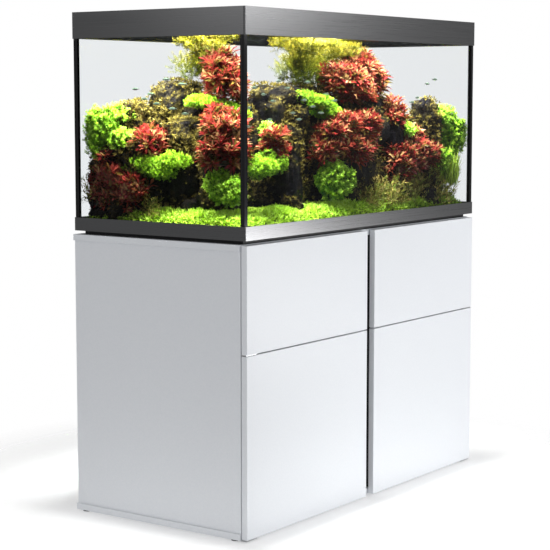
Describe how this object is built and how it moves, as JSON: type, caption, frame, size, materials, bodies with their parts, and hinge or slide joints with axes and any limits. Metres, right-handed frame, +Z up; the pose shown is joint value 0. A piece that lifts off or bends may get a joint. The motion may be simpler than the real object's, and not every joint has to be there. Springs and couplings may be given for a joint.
{
  "type": "aquarium on a cabinet stand",
  "caption": "Rectangular glass aquarium with a low hood, hinged lids and a planted rock scape, on a white cabinet with drawers over doors and a finger gap between them.",
  "frame": {"origin": "on the floor, at the middle of the bounding box's underside", "axes": "+X to the right seen from the front, +Y to the back, +Z up; the fronts of the drawers and doors face -Y"},
  "size_m": [1.13, 0.556, 1.3],
  "materials": {
    "white_board": "smooth cool white melamine facing on chipboard",
    "grey_hardboard": "thin board with a light grey lacquered face",
    "drawer_board": "light grey foil-faced board",
    "black_plastic": "black, slightly satin moulded plastic",
    "zinc_steel": "bright zinc-plated steel",
    "dark_metallic_trim": "moulded frame with a brushed dark grey metallic finish",
    "clear_glass": "clear float glass with polished edges",
    "black_silicone": "black silicone sealant",
    "lamp_metal": "satin anodised aluminium",
    "opal_plastic": "opal white diffuser",
    "gravel": "fine brown substrate grains",
    "rock": "dark weathered rock with moss",
    "carpet_plant": "low bright green carpet of small leaves",
    "red_leaf": "red and reddish-brown small leaves",
    "yellow_stem": "fine yellow-green stem plants",
    "green_leaf": "dense mid-green leaves",
    "fish_skin": "silvery green scales"
  },
  "bodies": {
    "cabinet_and_tank": {"base_panel": "white_board", "top_panel": "white_board", "left_side_panel": "white_board", "right_side_panel": "white_board", "left_partition": "white_board", "right_partition": "white_board", "left_shelf": "white_board", "right_shelf": "white_board", "back_panel": "grey_hardboard", "floor_glides": "black_plastic", "grip_channel": "black_plastic", "tank_plinth": "black_plastic", "rear_cover": "black_plastic", "lamp_brackets": "black_plastic", "cam_locks": "zinc_steel", "outer_rails": "zinc_steel", "pivot_brackets": "zinc_steel", "pivot_screws": "zinc_steel", "lid_pins": "zinc_steel", "base_trim": "dark_metallic_trim", "hood_trim": "dark_metallic_trim", "bottom_pane": "clear_glass", "front_pane": "clear_glass", "back_pane": "clear_glass", "left_pane": "clear_glass", "right_pane": "clear_glass", "centre_brace": "clear_glass", "silicone_seams": "black_silicone", "lamp_housing": "lamp_metal", "lamp_diffuser": "opal_plastic", "gravel_bed": "gravel", "rocks": "rock", "lawn": "carpet_plant", "red_plants": "red_leaf", "stem_plants": "yellow_stem", "green_bushes": "green_leaf", "fish": "fish_skin"},
    "left_drawer": {"left_drawer_front": "white_board", "left_drawer_sides": "drawer_board", "left_drawer_back": "drawer_board", "left_drawer_floor": "drawer_board", "left_inner_rails": "zinc_steel"},
    "right_drawer": {"right_drawer_front": "white_board", "right_drawer_sides": "drawer_board", "right_drawer_back": "drawer_board", "right_drawer_floor": "drawer_board", "right_inner_rails": "zinc_steel"},
    "left_rail_stage": {"left_middle_rails": "zinc_steel"},
    "right_rail_stage": {"right_middle_rails": "zinc_steel"},
    "left_door": {"left_door": "white_board", "left_pivot_leaves": "zinc_steel"},
    "right_door": {"right_door": "white_board", "right_pivot_leaves": "zinc_steel"},
    "left_lid": {"left_lid": "black_plastic"},
    "right_lid": {"right_lid": "black_plastic"}
  },
  "joints": [
    {"name": "left_drawer_slide", "type": "slide", "parent": "cabinet_and_tank", "child": "left_drawer", "axis": [0, -1, 0], "range_m": [0, 0.38]},
    {"name": "left_rail_slide", "type": "slide", "parent": "cabinet_and_tank", "child": "left_rail_stage", "axis": [0, -1, 0], "range_m": [0, 0.19]},
    {"name": "left_door_hinge", "type": "hinge", "parent": "cabinet_and_tank", "child": "left_door", "pos_m": [-0.556, -0.27, 0.235], "axis": [0, 0, -1], "range_deg": [0, 105]},
    {"name": "left_lid_hinge", "type": "hinge", "parent": "cabinet_and_tank", "child": "left_lid", "pos_m": [-0.285, 0.2, 1.2932], "axis": [-1, 0, 0], "range_deg": [0, 100]},
    {"name": "right_drawer_slide", "type": "slide", "parent": "cabinet_and_tank", "child": "right_drawer", "axis": [0, -1, 0], "range_m": [0, 0.38]},
    {"name": "right_rail_slide", "type": "slide", "parent": "cabinet_and_tank", "child": "right_rail_stage", "axis": [0, -1, 0], "range_m": [0, 0.19]},
    {"name": "right_door_hinge", "type": "hinge", "parent": "cabinet_and_tank", "child": "right_door", "pos_m": [0.556, -0.27, 0.235], "axis": [0, 0, 1], "range_deg": [0, 105]},
    {"name": "right_lid_hinge", "type": "hinge", "parent": "cabinet_and_tank", "child": "right_lid", "pos_m": [0.285, 0.2, 1.2932], "axis": [-1, 0, 0], "range_deg": [0, 100]}
  ],
  "couplings": [
    {"joint": "left_rail_slide", "follows": "left_drawer_slide", "ratio": 0.5},
    {"joint": "right_rail_slide", "follows": "right_drawer_slide", "ratio": 0.5}
  ]
}
